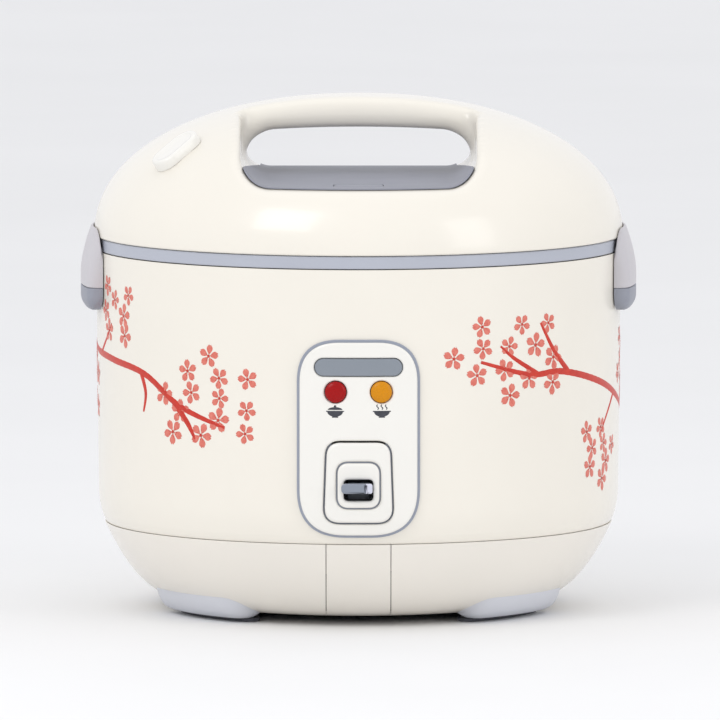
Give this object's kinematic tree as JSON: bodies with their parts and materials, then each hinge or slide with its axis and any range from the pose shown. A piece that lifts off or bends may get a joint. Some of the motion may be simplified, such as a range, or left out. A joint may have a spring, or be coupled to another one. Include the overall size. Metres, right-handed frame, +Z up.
{
  "type": "rice cooker",
  "caption": "Round electric rice cooker: domed hinged lid with a strap handle over a finger well, lift-out pot, front switch lever and lamps, side grips, bowl-shaped base.",
  "frame": {"origin": "middle of the footprint, on the ground under the feet", "axes": "+Z up, the control panel faces -Y, the lid's hinge is at +Y, +X to the right seen from the front"},
  "size_m": [0.2964, 0.311, 0.2744],
  "materials": {
    "cream_shell": "glossy warm white",
    "base_shell": "glossy warm white, a shade darker",
    "lavender_rim": "satin lavender grey",
    "well_grey": "satin grey",
    "grip_light": "satin pale grey",
    "grip_dark": "satin mid grey",
    "foot_grey": "satin pale grey",
    "rubber_pad": "dark grey rubber",
    "silicone": "translucent white silicone",
    "panel_white": "glossy white",
    "plate_grey": "blank grey plate",
    "red_lens": "clear red",
    "amber_lens": "clear amber",
    "lever_grey": "grey with a pale tip",
    "steel": "plated steel",
    "aluminium": "spun aluminium",
    "dark_plastic": "black plastic",
    "board": "green circuit board",
    "magnet": "sintered magnet in a steel cup",
    "brass": "plated brass",
    "lamp_glass": "clear glass"
  },
  "bodies": {
    "cooker": {"outer_casing": "cream_shell", "base_housing": "base_shell", "base_front_panel": "base_shell", "top_rim": "lavender_rim", "side_grip_left": "grip_light", "side_grip_right": "grip_light", "side_grip_pad_left": "grip_dark", "side_grip_pad_right": "grip_dark", "hinge_bracket": "grip_dark", "foot_front_right": "foot_grey", "foot_rear_right": "foot_grey", "foot_rear_left": "foot_grey", "foot_front_left": "foot_grey", "foot_pad_front_right": "rubber_pad", "foot_pad_rear_right": "rubber_pad", "foot_pad_rear_left": "rubber_pad", "foot_pad_front_left": "rubber_pad", "control_panel": "panel_white", "switch_plinth": "panel_white", "switch_bezel": "panel_white", "name_plate": "plate_grey", "cook_lamp_lens": "red_lens", "warm_lamp_lens": "amber_lens", "latch_catch": "steel", "heat_shield": "steel", "heating_element": "steel", "heater_post_1": "steel", "heater_post_2": "steel", "heater_post_3": "steel", "lever_bracket": "steel", "lever_pin": "steel", "hinge_pin": "steel", "base_screw_left": "steel", "base_screw_right": "steel", "heater_plate": "aluminium", "bottom_cover": "dark_plastic", "microswitch": "dark_plastic", "power_inlet": "dark_plastic", "lamp_board": "board", "inlet_pin_left": "brass", "inlet_pin_right": "brass", "cook_lamp": "lamp_glass", "warm_lamp": "lamp_glass"},
    "pot": {"inner_pot": "aluminium"},
    "thermostat": {"thermostat_cap": "aluminium"},
    "lever": {"switch_lever": "lever_grey"},
    "plunger": {"magnet_plunger": "magnet"},
    "lid": {"lid_cover": "cream_shell", "handle_tray": "well_grey", "lid_knuckle": "grip_dark", "lid_liner": "foot_grey", "inner_lid": "aluminium", "inner_lid_gasket": "silicone", "inner_lid_grommet": "silicone", "steam_duct": "silicone"},
    "vent_cap": {"steam_vent_cap": "cream_shell"},
    "button": {"release_button": "well_grey"},
    "latch": {"latch_hook": "steel"},
    "drip_cup": {"dew_collector": "grip_light"}
  },
  "joints": [
    {"name": "lid_hinge", "type": "hinge", "parent": "cooker", "child": "lid", "pos_m": [0, 0.142, 0.199], "axis": [-1, 0, 0], "range_deg": [0, 92]},
    {"name": "pot_turn", "type": "hinge", "parent": "cooker", "child": "pot", "pos_m": [0, -0.0045, 0.062], "axis": [0, 0, 1], "continuous": true},
    {"name": "release_button_press", "type": "slide", "parent": "lid", "child": "button", "axis": [0, 0, -1], "range_m": [0, 0.003], "stiffness_N_per_m": 600, "springref_m": -0.001},
    {"name": "latch_swing", "type": "hinge", "parent": "lid", "child": "latch", "pos_m": [0, -0.1325, 0.211], "axis": [-1, 0, 0], "range_deg": [0, 7.5]},
    {"name": "switch_lever_press", "type": "hinge", "parent": "cooker", "child": "lever", "pos_m": [0, -0.0745, 0.03], "axis": [1, 0, 0], "range_deg": [0, 2.6], "stiffness_Nm_per_rad": 2, "springref_deg": -2.86},
    {"name": "magnet_rise", "type": "slide", "parent": "cooker", "child": "plunger", "axis": [0, 0, 1], "range_m": [0, 0.0035]},
    {"name": "thermostat_dip", "type": "slide", "parent": "cooker", "child": "thermostat", "axis": [0, 0, -1], "range_m": [0, 0.0025], "stiffness_N_per_m": 800, "springref_m": -0.001},
    {"name": "vent_cap_pull", "type": "slide", "parent": "lid", "child": "vent_cap", "axis": [-0.4814, -0.3021, 0.8228], "range_m": [0, 0.025]},
    {"name": "drip_cup_pull", "type": "slide", "parent": "cooker", "child": "drip_cup", "axis": [0, 1, 0], "range_m": [0, 0.03]}
  ],
  "couplings": [
    {"joint": "latch_swing", "follows": "release_button_press", "rad_per_m": 43.478},
    {"joint": "magnet_rise", "follows": "switch_lever_press", "m_per_rad": 0.07}
  ]
}
